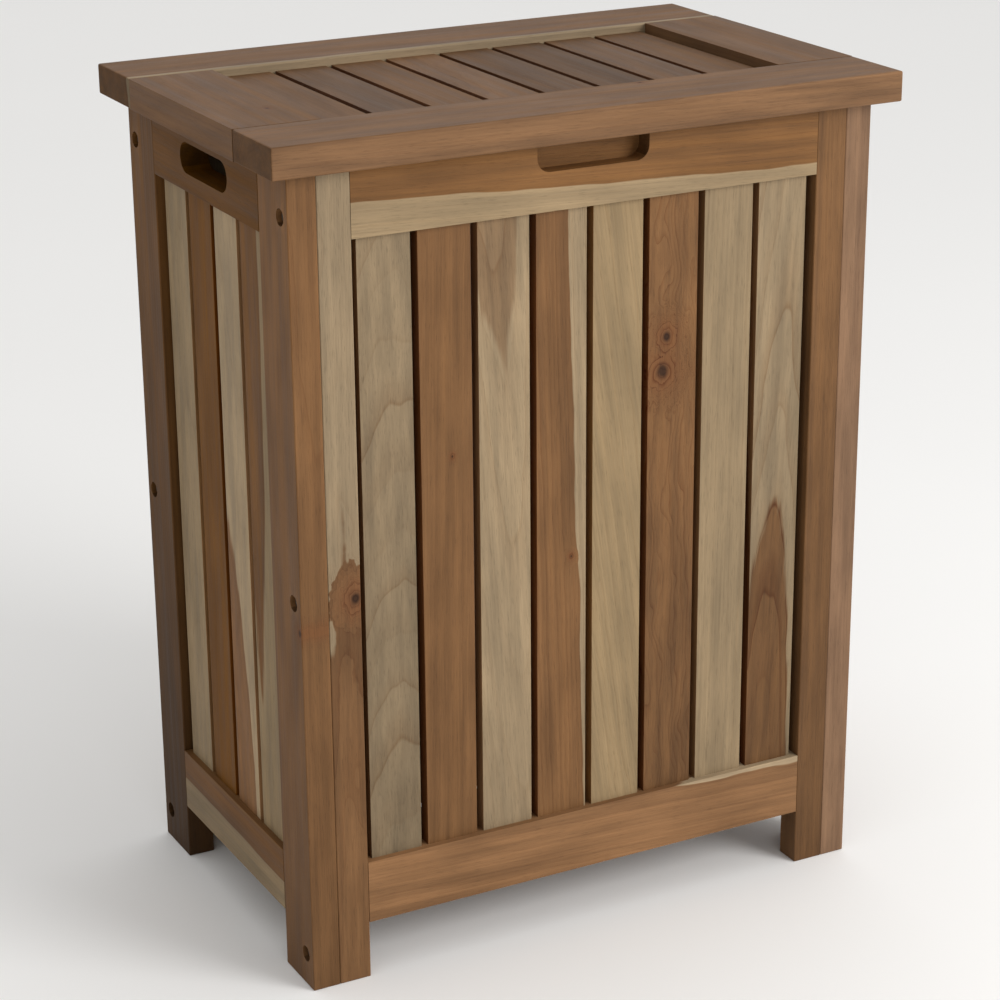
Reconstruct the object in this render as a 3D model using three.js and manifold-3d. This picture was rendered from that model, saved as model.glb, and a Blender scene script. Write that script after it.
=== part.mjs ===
// Teak laundry hamper with a hinged, slatted lid.
//
// Four slatted panels stand as a box: the side panels' stiles run down as legs, and the front
// and back panels sit between them. A slatted floor hangs on cleats between the side panels,
// and a framed, slatted lid turns on two butt hinges let into the back.
// Millimetres, +Z up, front towards -Y, origin on the floor under the middle of the lid.

import * as THREE from 'three';
import { mergeVertices } from 'three/addons/utils/BufferGeometryUtils.js';
import Module from 'manifold-3d';

const wasm = await Module();
wasm.setup();

// Body
const BODY_W = 458;
const BODY_D = 286;
const BODY_H = 600;
const BOARD = 21;
const FRONT_STILE_W = 24.5;
const SIDE_STILE_W = 48;
const TOP_RAIL_H = 49;
const BOTTOM_RAIL_H = 48;
const BOTTOM_RAIL_Z = 44;

// Slats, all of one stock
const SLAT_W = 40;
const SLAT_T = 10;
const SLAT_RECESS = 5;
const FRONT_SLATS = 8;
const SIDE_SLATS = 4;

// Joinery
const GAP = 0.3;
const SLAT_TENON = 8;
const TENON_T = 8;
const FRONT_TENON = 12;
const SIDE_TENON = 20;
const LID_TENON = 20;
const TENON_SHOULDER = 7;

// Hand holes, finger notch and bolt counterbores
const HAND_HOLE_W = 85;
const HAND_HOLE_H = 22.5;
const NOTCH_W = 88;
const NOTCH_H = 21.5;
const NOTCH_R = 10;
const NOTCH_DEPTH = 14;
const COUNTERBORE_R = 6;
const COUNTERBORE_DEPTH = 6;
const BOLT_INSET = 12;
const BOLT_HEIGHTS = [25, 297, 569];

// Lid
const LID_W = 490;
const LID_D = 316;
const LID_T = 22;
const LID_RAIL_W = 64;
const LID_SLATS = 8;
const LID_SLAT_RECESS = 6;

// Hinges: leaves let into the back rail and the lid, knuckles just behind the back
const HINGE_X = 150;
const HINGE_L = 50;
const LEAF_DEPTH = 18;
const LEAF_T = 1.4;
const LEAF_OFFSET = 0.2;
const KNUCKLE_R = 3.2;
const KNUCKLE_BORE_R = 1.8;
const KNUCKLE_GAP = 0.4;
const PIN_R = 1.5;
const PIN_HEAD_R = 2.6;
const PIN_HEAD_T = 1.2;
const AXIS_BEHIND = 3.5;

// Floor
const FLOOR_SLATS = 8;
const FLOOR_TOP_Z = 88;
const CLEAT_W = 24;
const CLEAT_T = 16;
const CLEAT_Y = 80;
const CLEAT_TENON = 8;
const FLOOR_CLEAR = 1;

// Finishes
const heartwood = new THREE.MeshStandardMaterial({ color: 0x9c7350, roughness: 0.55, metalness: 0 });
const sapwood = new THREE.MeshStandardMaterial({ color: 0xc0a883, roughness: 0.55, metalness: 0 });
const darkTeak = new THREE.MeshStandardMaterial({ color: 0x7d573b, roughness: 0.55, metalness: 0 });
const brass = new THREE.MeshStandardMaterial({ color: 0xb08d4a, roughness: 0.35, metalness: 1 });

// Solids: a closed three.js geometry becomes a solid for a cut or a join, and comes back.

function solidFrom(geometry) {
  const bare = geometry.clone();
  bare.deleteAttribute('normal');
  bare.deleteAttribute('uv');
  const merged = mergeVertices(bare, 1e-4);
  const vertProperties = new Float32Array(merged.attributes.position.array);
  const triVerts = new Uint32Array(merged.index.array);
  return new wasm.Manifold(new wasm.Mesh({ numProp: 3, vertProperties, triVerts }));
}

function geometryFrom(solid) {
  const mesh = solid.getMesh();
  const geometry = new THREE.BufferGeometry();
  geometry.setAttribute('position', new THREE.BufferAttribute(mesh.vertProperties, 3));
  geometry.setIndex(new THREE.BufferAttribute(mesh.triVerts, 1));
  return geometry;
}

// A rectangular block between two opposite corners.
function block(low, high) {
  const size = low.map((value, i) => high[i] - value);
  const centre = low.map((value, i) => (high[i] + value) / 2);
  return new THREE.BoxGeometry(...size).translate(...centre);
}

// A round bar along an axis ('x', 'y' or 'z'), centred on a point.
function bar(radius, length, axis, centre, segments = 24) {
  const geometry = new THREE.CylinderGeometry(radius, radius, length, segments);
  if (axis === 'x') geometry.rotateZ(Math.PI / 2);
  if (axis === 'z') geometry.rotateX(Math.PI / 2);
  return geometry.translate(...centre);
}

// One piece: a base shape, what is joined to it and what is cut from it, in one frame.
function piece(name, finish, base, { joins = [], cuts = [] } = {}) {
  let geometry = base;
  if (joins.length + cuts.length > 0) {
    let solid = solidFrom(base);
    for (const shape of joins) solid = solid.add(solidFrom(shape));
    for (const shape of cuts) solid = solid.subtract(solidFrom(shape));
    geometry = geometryFrom(solid);
  }
  geometry.computeBoundingBox();
  const centre = geometry.boundingBox.getCenter(new THREE.Vector3());
  geometry.translate(-centre.x, -centre.y, -centre.z);
  const mesh = new THREE.Mesh(geometry, finish);
  mesh.name = name;
  mesh.position.copy(centre);
  return mesh;
}

// The left edge of each slat in a row of them, with equal gaps between and at both ends.
function slatStarts(count, opening) {
  const gap = (opening - count * SLAT_W) / (count + 1);
  return Array.from({ length: count }, (_, i) => -opening / 2 + gap + i * (SLAT_W + gap));
}

// A slatted panel, in its own frame: outer face on y = 0, inside towards +Y, foot at z = 0,
// x to the right as it is seen from outside.
// spec: names, width, stileW, tenon, slats, slatTones, tones, topCuts, bottomCuts, stileCuts
function slattedPanel(spec) {
  const panel = new THREE.Group();
  const half = spec.width / 2;
  const opening = spec.width - 2 * spec.stileW;
  const topZ = BODY_H - TOP_RAIL_H;
  const rails = [
    { name: `${spec.names}_top_rail`, low: topZ, high: BODY_H, cuts: spec.topCuts, tone: spec.tones.top },
    {
      name: `${spec.names}_bottom_rail`,
      low: BOTTOM_RAIL_Z,
      high: BOTTOM_RAIL_Z + BOTTOM_RAIL_H,
      cuts: spec.bottomCuts,
      tone: spec.tones.bottom,
    },
  ];
  const starts = slatStarts(spec.slats, opening);
  const slatY = [SLAT_RECESS, SLAT_RECESS + SLAT_T];
  const slatZ = [BOTTOM_RAIL_Z + BOTTOM_RAIL_H - SLAT_TENON, topZ + SLAT_TENON];
  const tenonY = [(BOARD - TENON_T) / 2, (BOARD + TENON_T) / 2];

  const slatMortises = starts.map((x) => block(
    [x - GAP, slatY[0] - GAP, slatZ[0] - GAP],
    [x + SLAT_W + GAP, slatY[1] + GAP, slatZ[1] + GAP],
  ));
  for (const rail of rails) {
    const tenonZ = [rail.low + TENON_SHOULDER, rail.high - TENON_SHOULDER];
    const tenon = block(
      [-opening / 2 - spec.tenon, tenonY[0], tenonZ[0]],
      [opening / 2 + spec.tenon, tenonY[1], tenonZ[1]],
    );
    const body = block([-opening / 2, 0, rail.low], [opening / 2, BOARD, rail.high]);
    panel.add(piece(rail.name, rail.tone, body, { joins: [tenon], cuts: [...slatMortises, ...rail.cuts] }));
  }

  const railMortises = rails.map((rail) => block(
    [-opening / 2 - spec.tenon - GAP, tenonY[0] - GAP, rail.low + TENON_SHOULDER - GAP],
    [opening / 2 + spec.tenon + GAP, tenonY[1] + GAP, rail.high - TENON_SHOULDER + GAP],
  ));
  for (const [side, name] of [[-1, spec.leftStile], [1, spec.rightStile]]) {
    const xs = [side * half, side * (half - spec.stileW)].sort((a, b) => a - b);
    const stile = block([xs[0], 0, 0], [xs[1], BOARD, BODY_H]);
    panel.add(piece(name, spec.tones.stiles, stile, { cuts: [...railMortises, ...spec.stileCuts] }));
  }

  starts.forEach((x, i) => {
    const slat = block([x, slatY[0], slatZ[0]], [x + SLAT_W, slatY[1], slatZ[1]]);
    panel.add(piece(`${spec.names}_slat_${i + 1}`, spec.slatTones[i % spec.slatTones.length], slat));
  });
  return panel;
}

// A stadium-shaped hole right through a board whose faces are y = 0 and y = BOARD.
function handHole() {
  const r = HAND_HOLE_H / 2;
  const reach = HAND_HOLE_W / 2 - r;
  const outline = new THREE.Shape();
  outline.absarc(reach, 0, r, -Math.PI / 2, Math.PI / 2);
  outline.absarc(-reach, 0, r, Math.PI / 2, Math.PI * 1.5);
  const cutter = new THREE.ExtrudeGeometry(outline, { depth: BOARD + 2, bevelEnabled: false, curveSegments: 12 });
  return cutter.rotateX(Math.PI / 2).translate(0, BOARD + 1, BODY_H - TOP_RAIL_H / 2);
}

// A finger notch in the outer face of a board, open at the board's top edge.
function fingerNotch() {
  const half = NOTCH_W / 2;
  const overshoot = 2;
  const outline = new THREE.Shape();
  outline.moveTo(half, overshoot);
  outline.lineTo(-half, overshoot);
  outline.lineTo(-half, NOTCH_R - NOTCH_H);
  outline.absarc(-half + NOTCH_R, NOTCH_R - NOTCH_H, NOTCH_R, Math.PI, Math.PI * 1.5);
  outline.absarc(half - NOTCH_R, NOTCH_R - NOTCH_H, NOTCH_R, Math.PI * 1.5, Math.PI * 2);
  const depth = NOTCH_DEPTH + overshoot;
  const cutter = new THREE.ExtrudeGeometry(outline, { depth, bevelEnabled: false, curveSegments: 10 });
  return cutter.rotateX(Math.PI / 2).translate(0, NOTCH_DEPTH, BODY_H);
}

// Counterbores for the connector bolts, in the outer face of both stiles of a side panel.
function boltCounterbores() {
  const bores = [];
  for (const x of [BOLT_INSET - BODY_D / 2, BODY_D / 2 - BOLT_INSET]) {
    for (const z of BOLT_HEIGHTS) {
      bores.push(bar(COUNTERBORE_R, 2 * COUNTERBORE_DEPTH, 'y', [x, 0, z], 20));
    }
  }
  return bores;
}

// Panels

const frontWidth = BODY_W - 2 * BOARD;
const hamper = new THREE.Group();

const frontPanel = slattedPanel({
  names: 'front',
  leftStile: 'front_left_stile',
  rightStile: 'front_right_stile',
  width: frontWidth,
  stileW: FRONT_STILE_W,
  tenon: FRONT_TENON,
  slats: FRONT_SLATS,
  slatTones: [sapwood, heartwood],
  tones: { top: heartwood, bottom: heartwood, stiles: heartwood },
  topCuts: [fingerNotch()],
  bottomCuts: [],
  stileCuts: [],
});
frontPanel.position.set(0, -BODY_D / 2, 0);
hamper.add(frontPanel);

// The hinge leaves lie in shallow pockets in the back panel's top rail.
const leafPockets = [-HINGE_X, HINGE_X].map((x) => block(
  [x - HINGE_L / 2 - GAP, -1, BODY_H - LEAF_OFFSET - LEAF_T - GAP],
  [x + HINGE_L / 2 + GAP, LEAF_DEPTH + GAP, BODY_H + 1],
));
const backPanel = slattedPanel({
  names: 'back',
  leftStile: 'back_right_stile',
  rightStile: 'back_left_stile',
  width: frontWidth,
  stileW: FRONT_STILE_W,
  tenon: FRONT_TENON,
  slats: FRONT_SLATS,
  slatTones: [heartwood, sapwood],
  tones: { top: heartwood, bottom: heartwood, stiles: heartwood },
  topCuts: leafPockets,
  bottomCuts: [],
  stileCuts: [],
});
backPanel.rotation.z = Math.PI;
backPanel.position.set(0, BODY_D / 2, 0);
hamper.add(backPanel);

// The floor's cleats end in mortises in the side panels' bottom rails.
const cleatZ = [FLOOR_TOP_Z - SLAT_T - CLEAT_T, FLOOR_TOP_Z - SLAT_T];
const cleatMortises = [-CLEAT_Y, CLEAT_Y].map((y) => block(
  [y - CLEAT_W / 2 - GAP, BOARD - CLEAT_TENON - GAP, cleatZ[0] - GAP],
  [y + CLEAT_W / 2 + GAP, BOARD + 1, cleatZ[1] + GAP],
));
for (const [side, turn] of [['left', -1], ['right', 1]]) {
  const panel = slattedPanel({
    names: side,
    leftStile: side === 'left' ? 'left_back_leg' : 'right_front_leg',
    rightStile: side === 'left' ? 'left_front_leg' : 'right_back_leg',
    width: BODY_D,
    stileW: SIDE_STILE_W,
    tenon: SIDE_TENON,
    slats: SIDE_SLATS,
    slatTones: [sapwood, heartwood],
    tones: { top: darkTeak, bottom: darkTeak, stiles: heartwood },
    topCuts: [handHole()],
    bottomCuts: cleatMortises,
    stileCuts: boltCounterbores(),
  });
  panel.rotation.z = turn * Math.PI / 2;
  panel.position.set(turn * BODY_W / 2, 0, 0);
  hamper.add(panel);
}

// Floor: slats from front to back, glued on two cleats.

const floorHalfX = BODY_W / 2 - BOARD;
const floorHalfY = BODY_D / 2 - BOARD - FLOOR_CLEAR;
const cleats = [-CLEAT_Y, CLEAT_Y].map((y) => block(
  [-floorHalfX - CLEAT_TENON, y - CLEAT_W / 2, cleatZ[0]],
  [floorHalfX + CLEAT_TENON, y + CLEAT_W / 2, cleatZ[1]],
));
const floorSlats = slatStarts(FLOOR_SLATS, 2 * floorHalfX).map((x) => block(
  [x, -floorHalfY, FLOOR_TOP_Z - SLAT_T - 1],
  [x + SLAT_W, floorHalfY, FLOOR_TOP_Z],
));
hamper.add(piece('slatted_floor', heartwood, cleats[0], { joins: [cleats[1], ...floorSlats] }));

// Lid

const lid = new THREE.Group();
lid.position.set(0, 0, BODY_H);
const lidOpeningX = LID_W - 2 * LID_RAIL_W;
const lidInnerY = LID_D / 2 - LID_RAIL_W;
const lidSlatZ = [LID_T - LID_SLAT_RECESS - SLAT_T, LID_T - LID_SLAT_RECESS];
const lidStarts = slatStarts(LID_SLATS, lidOpeningX);
const lidSlatMortises = lidStarts.map((x) => block(
  [x - GAP, -lidInnerY - SLAT_TENON - GAP, lidSlatZ[0] - GAP],
  [x + SLAT_W + GAP, lidInnerY + SLAT_TENON + GAP, lidSlatZ[1] + GAP],
));
const lidTenonZ = [(LID_T - TENON_T) / 2, (LID_T + TENON_T) / 2];
const endRails = [-1, 1].map((side) => {
  const xs = [side * LID_W / 2, side * (LID_W / 2 - LID_RAIL_W)].sort((a, b) => a - b);
  return {
    name: side < 0 ? 'lid_left_rail' : 'lid_right_rail',
    body: block([xs[0], -lidInnerY, 0], [xs[1], lidInnerY, LID_T]),
    tenon: block(
      [xs[0] + TENON_SHOULDER, -lidInnerY - LID_TENON, lidTenonZ[0]],
      [xs[1] - TENON_SHOULDER, lidInnerY + LID_TENON, lidTenonZ[1]],
    ),
    mortise: block(
      [xs[0] + TENON_SHOULDER - GAP, -lidInnerY - LID_TENON - GAP, lidTenonZ[0] - GAP],
      [xs[1] - TENON_SHOULDER + GAP, lidInnerY + LID_TENON + GAP, lidTenonZ[1] + GAP],
    ),
  };
});
const axisY = BODY_D / 2 + AXIS_BEHIND;
const lidHingePockets = [-HINGE_X, HINGE_X].flatMap((x) => [
  block(
    [x - HINGE_L / 2 - GAP, BODY_D / 2 - LEAF_DEPTH - GAP, -1],
    [x + HINGE_L / 2 + GAP, axisY, LEAF_OFFSET + LEAF_T + GAP],
  ),
  block(
    [x - HINGE_L / 2 - 2 * PIN_HEAD_T, axisY - KNUCKLE_R - 2 * GAP, -1],
    [x + HINGE_L / 2 + 2 * PIN_HEAD_T, axisY + KNUCKLE_R + 2 * GAP, KNUCKLE_R + 2 * GAP],
  ),
]);
const lidMortises = [...lidSlatMortises, ...endRails.map((rail) => rail.mortise)];
for (const [name, side, hingeCuts] of [['lid_front_rail', -1, []], ['lid_back_rail', 1, lidHingePockets]]) {
  const ys = [side * LID_D / 2, side * lidInnerY].sort((a, b) => a - b);
  const rail = block([-LID_W / 2, ys[0], 0], [LID_W / 2, ys[1], LID_T]);
  lid.add(piece(name, heartwood, rail, { cuts: [...lidMortises, ...hingeCuts] }));
}
for (const rail of endRails) {
  lid.add(piece(rail.name, heartwood, rail.body, { joins: [rail.tenon] }));
}
lidStarts.forEach((x, i) => {
  const ends = lidInnerY + SLAT_TENON;
  const slat = block([x, -ends, lidSlatZ[0]], [x + SLAT_W, ends, lidSlatZ[1]]);
  lid.add(piece(`lid_slat_${i + 1}`, heartwood, slat));
});

// Butt hinges: the body leaf carries the two outer knuckles, the lid leaf the middle one.

const knuckleL = (HINGE_L - 2 * KNUCKLE_GAP) / 3;
const knuckleAt = { body: [-knuckleL - KNUCKLE_GAP, knuckleL + KNUCKLE_GAP], lid: [0] };

function hingeLeaf(name, x, owner) {
  const plateZ = owner === 'body'
    ? [BODY_H - LEAF_OFFSET - LEAF_T, BODY_H - LEAF_OFFSET]
    : [BODY_H + LEAF_OFFSET, BODY_H + LEAF_OFFSET + LEAF_T];
  const plateEnd = axisY - KNUCKLE_R - GAP;
  const plate = block(
    [x - HINGE_L / 2, BODY_D / 2 - LEAF_DEPTH, plateZ[0]],
    [x + HINGE_L / 2, plateEnd, plateZ[1]],
  );
  const joins = [];
  const cuts = [];
  for (const offset of knuckleAt[owner]) {
    const centre = [x + offset, axisY, BODY_H];
    joins.push(block([centre[0] - knuckleL / 2, plateEnd - 1, plateZ[0]], [centre[0] + knuckleL / 2, axisY, plateZ[1]]));
    joins.push(bar(KNUCKLE_R, knuckleL, 'x', centre));
    cuts.push(bar(KNUCKLE_BORE_R, knuckleL + 2, 'x', centre));
  }
  return piece(name, brass, plate, { joins, cuts });
}

function hingePin(name, x) {
  const centre = [x, axisY, BODY_H];
  const heads = [-1, 1].map((side) => bar(
    PIN_HEAD_R,
    PIN_HEAD_T,
    'x',
    [x + side * (HINGE_L / 2 + GAP + PIN_HEAD_T / 2), axisY, BODY_H],
  ));
  return piece(name, brass, bar(PIN_R, HINGE_L + 2 * GAP + PIN_HEAD_T, 'x', centre), { joins: heads });
}

const hinges = new THREE.Group();
for (const [side, x] of [['left', -HINGE_X], ['right', HINGE_X]]) {
  hinges.add(hingeLeaf(`${side}_hinge_body_leaf`, x, 'body'));
  hinges.add(hingeLeaf(`${side}_hinge_lid_leaf`, x, 'lid'));
  hinges.add(hingePin(`${side}_hinge_pin`, x));
}

const group = new THREE.Group();
group.add(hamper, lid, hinges);

export default group;
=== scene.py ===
"""Teak laundry hamper: slatted panels, a slatted floor and a framed lid on two brass hinges.

Every board is modelled on its own, face up and in millimetres, and carries the place in the log
that it was sawn from, so that growth rings, heartwood and knots run through it as in real timber.
"""

import math
import random
from functools import partial
from typing import NamedTuple

import bmesh
import bpy
from bpy.props import FloatProperty, FloatVectorProperty, PointerProperty
from mathutils import Matrix, Vector


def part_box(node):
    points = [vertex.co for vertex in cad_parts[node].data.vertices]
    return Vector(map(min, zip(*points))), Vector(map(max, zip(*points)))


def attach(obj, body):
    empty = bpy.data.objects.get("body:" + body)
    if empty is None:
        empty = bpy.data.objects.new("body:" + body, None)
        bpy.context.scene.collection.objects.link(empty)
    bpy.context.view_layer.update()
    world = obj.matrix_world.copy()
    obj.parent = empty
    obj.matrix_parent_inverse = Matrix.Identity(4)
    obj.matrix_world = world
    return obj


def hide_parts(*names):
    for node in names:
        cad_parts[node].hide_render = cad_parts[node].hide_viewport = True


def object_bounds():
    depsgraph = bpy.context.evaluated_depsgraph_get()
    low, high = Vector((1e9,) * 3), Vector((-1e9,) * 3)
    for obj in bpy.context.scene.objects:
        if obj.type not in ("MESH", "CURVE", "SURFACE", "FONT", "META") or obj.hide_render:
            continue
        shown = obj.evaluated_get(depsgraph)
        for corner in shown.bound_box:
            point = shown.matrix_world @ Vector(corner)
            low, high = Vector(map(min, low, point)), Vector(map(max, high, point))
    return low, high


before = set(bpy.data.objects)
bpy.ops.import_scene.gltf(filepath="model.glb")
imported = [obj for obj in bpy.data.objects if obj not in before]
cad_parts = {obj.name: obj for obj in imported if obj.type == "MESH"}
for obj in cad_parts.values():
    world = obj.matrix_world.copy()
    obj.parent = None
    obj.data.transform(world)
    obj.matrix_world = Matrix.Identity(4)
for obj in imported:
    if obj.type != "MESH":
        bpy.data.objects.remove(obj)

bl_info = {
    "name": "Teak Laundry Hamper",
    "version": (1, 0, 0),
    "blender": (4, 5, 0),
    "location": "3D View > Sidebar > Hamper",
    "description": "A slatted teak laundry hamper with a hinged lid, board by board",
    "category": "Object",
}

CAD_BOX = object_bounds()
MM = 0.001
RIGHT = Vector((1, 0, 0))
BACK = Vector((0, 1, 0))
UP = Vector((0, 0, 1))
KNOT_LAYERS = ("knot_one", "knot_two")

# An edge that turns by more than this is sharp
SHARP = math.radians(50)

# In millimetres: places nearer than this are the same, and round corners stop this short of meeting
CLOSE = 0.01
BARELY = 0.02

# How far the slats run into the rails, in metres, so that no light shows at their ends
LET_IN = 1.0 * MM

# The hinges, in millimetres
FIT = 0.3
LEAF_OFFSET = 0.2
LEAF_THICKNESS = 1.4
LEAF_CORNER = 2.5
LEAF_EASING = 0.15
TAB_EASING = 0.1
TAB_OVERLAP = 1.0
KNUCKLE_RADIUS = 3.2
KNUCKLE_GAP = 0.4
KNUCKLE_EASING = 0.25
PIN_BORE_RADIUS = 1.8
PIN_RADIUS = 1.5
PIN_HEAD = 1.2
PIN_HEAD_RADIUS = 2.6
# Along the leaf and out from the pin, as shares of its length and width
SCREW_PLACES = ((-0.34, 0.62), (0, 0.52), (0.34, 0.62))
SCREW_TURNS = (20, 75, 140)
SCREW_HEAD = 0.9
SCREW_PROUD = 0.12
SCREW_POCKET = 0.95
SCREW_CLEARANCE = 0.12
SLOT_WIDTH = 0.7
SLOT_DEPTH = 0.5
SCREW_EASING = 0.09

# The connector bolts, in millimetres
BOLT_HEAD = 3.0
BOLT_TURN = math.radians(23)
SOCKET_RADIUS = 2.3
SOCKET_DEPTH = 2.0


def linear(code):
    """An sRGB hex colour as linear red, green and blue."""
    shares = [int(code[i : i + 2], 16) / 255 for i in (1, 3, 5)]
    return tuple(s / 12.92 if s <= 0.04045 else ((s + 0.055) / 1.055) ** 2.4 for s in shares)


# Settings

Length = partial(FloatProperty, unit="LENGTH")
Colour = partial(FloatVectorProperty, subtype="COLOR")


class HamperTimber(bpy.types.PropertyGroup):
    """The boards' edges and the colours of the teak."""

    arris: Length(name="Arris", description="Rounding of a board's long edges", default=0.0011)
    lid_arris: Length(name="Lid arris", description="Rounding of the lid frame's edges", default=0.0018)
    lid_end_easing: Length(name="Lid end easing", description="Rounding of the lid's corners", default=0.0013)
    joint_line: Length(name="Joint line", description="Easing where two boards meet", default=0.00025)
    foot_easing: Length(name="Foot easing", description="Easing of an end that shows", default=0.0009)
    ring_spacing: Length(name="Ring spacing", description="One year's growth", default=0.0034)
    heart_light: Colour(name="Heartwood, light", description="Paler heartwood", default=linear("#7c5836"))
    heart_dark: Colour(name="Heartwood, dark", description="Darker heartwood", default=linear("#66472a"))
    sap_light: Colour(name="Sapwood, light", description="Paler sapwood", default=linear("#968164"))
    sap_dark: Colour(name="Sapwood, dark", description="Darker sapwood", default=linear("#816f56"))
    knot: Colour(name="Knot", description="Heart of a knot", default=linear("#38210f"))


class HamperFittings(bpy.types.PropertyGroup):
    """Cut-outs, hinges and bolts."""

    hand_hole_width: Length(name="Hand hole width", description="Length of a side rail's slot", default=0.085)
    hand_hole_height: Length(name="Hand hole height", description="Height of the slot", default=0.0225)
    notch_width: Length(name="Finger notch width", description="Length of the front notch", default=0.088)
    notch_height: Length(name="Finger notch height", description="Down from the rail's top", default=0.0215)
    notch_depth: Length(name="Finger notch depth", description="Into the rail's face", default=0.014)
    notch_corner: Length(name="Finger notch corner", description="Radius of its corners", default=0.01)
    notch_rim: Length(name="Finger notch rim", description="Rounding of its rim", default=0.0009)
    hand_hole_rim: Length(name="Hand hole rim", description="Rounding of its rim", default=0.0022)
    cleat_from_middle: Length(name="Cleat place", description="From the middle to a cleat", default=0.08)
    cleat_width: Length(name="Cleat width", description="Width of a floor cleat", default=0.024)
    bore_radius: Length(name="Counterbore radius", description="Hole over a bolt head", default=0.006)
    bore_depth: Length(name="Counterbore depth", description="Depth of that hole", default=0.006)
    bolt_inset: Length(name="Bolt inset", description="From a leg's outer edge to the bolt", default=0.012)
    bolt_low: Length(name="Low bolt", description="Height of the lowest bolts", default=0.025)
    bolt_middle: Length(name="Middle bolt", description="Height of the middle bolts", default=0.297)
    bolt_below_top: Length(name="Top bolt", description="Down from the top edge", default=0.031)
    bolt_head_radius: Length(name="Bolt head radius", description="Radius of a bolt", default=0.0048)
    screw_head_radius: Length(name="Screw head radius", description="Radius of a hinge screw", default=0.0031)
    brass: Colour(name="Brass", description="Satin brass", default=linear("#c9a766"))
    bronze: Colour(name="Bolt", description="Bronzed steel", default=linear("#6f6459"))


class HamperStudio(bpy.types.PropertyGroup):
    """The camera, the lights and the floor that the hamper stands on."""

    lens: FloatProperty(name="Lens", description="Focal length", default=99.56, unit="CAMERA")
    camera_place: FloatVectorProperty(
        name="Camera place", description="Where it stands", default=(-0.9214, -1.7503, 1.0177), unit="LENGTH"
    )
    azimuth: FloatProperty(
        name="Azimuth", description="Turn to the right", default=math.radians(27.78), unit="ROTATION"
    )
    elevation: FloatProperty(
        name="Elevation", description="Tilt down", default=math.radians(20.21), unit="ROTATION"
    )
    roll: FloatProperty(
        name="Roll", description="Turn about the view", default=math.radians(-0.47), unit="ROTATION"
    )
    key_power: FloatProperty(name="Key power", description="Soft window light", default=54.0, unit="POWER")
    key_offset: FloatVectorProperty(
        name="Key place", description="From the hamper's middle", default=(1.5, -2.3, 1.2), unit="LENGTH"
    )
    key_size: Length(name="Key size", description="Width of the key", default=1.6)
    sky: FloatProperty(name="Sky", description="Brightness of the white room", default=1.0)
    zenith: FloatProperty(name="Zenith", description="Brightness straight above", default=0.85)
    left_wall: FloatProperty(name="Left wall", description="Brightness of the left, to the rest", default=0.6)
    floor: Colour(name="Floor", description="Matte painted floor", default=linear("#f4f3f1"))


# How each board was sawn


class Knot(NamedTuple):
    """A knot's centre on the board's face, across and along from the middle, and its radius."""

    across: float
    along: float
    radius: float


class Cut(NamedTuple):
    """Where a board lay in its log, in millimetres, as seen on its face with the grain upwards.

    pith is across the board and behind its face, lean is how far the pith moves in a metre of
    length, heart is the heartwood's radius, tone and grey lighten and fade the board. brown is how
    strongly the heartwood is coloured, rings how strongly the rings show, shift how much lighter
    the board grows in a metre upwards, and wild how far its grain swirls.
    """

    pith: tuple = (60, 20)
    lean: tuple = (0, 0)
    heart: float = 300
    tone: float = 0
    grey: float = 0
    knots: tuple = ()
    brown: float = 1
    rings: float = 1
    shift: float = 0
    wild: float = 1


ALL_HEART = 300
ALL_SAP = 0

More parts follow.
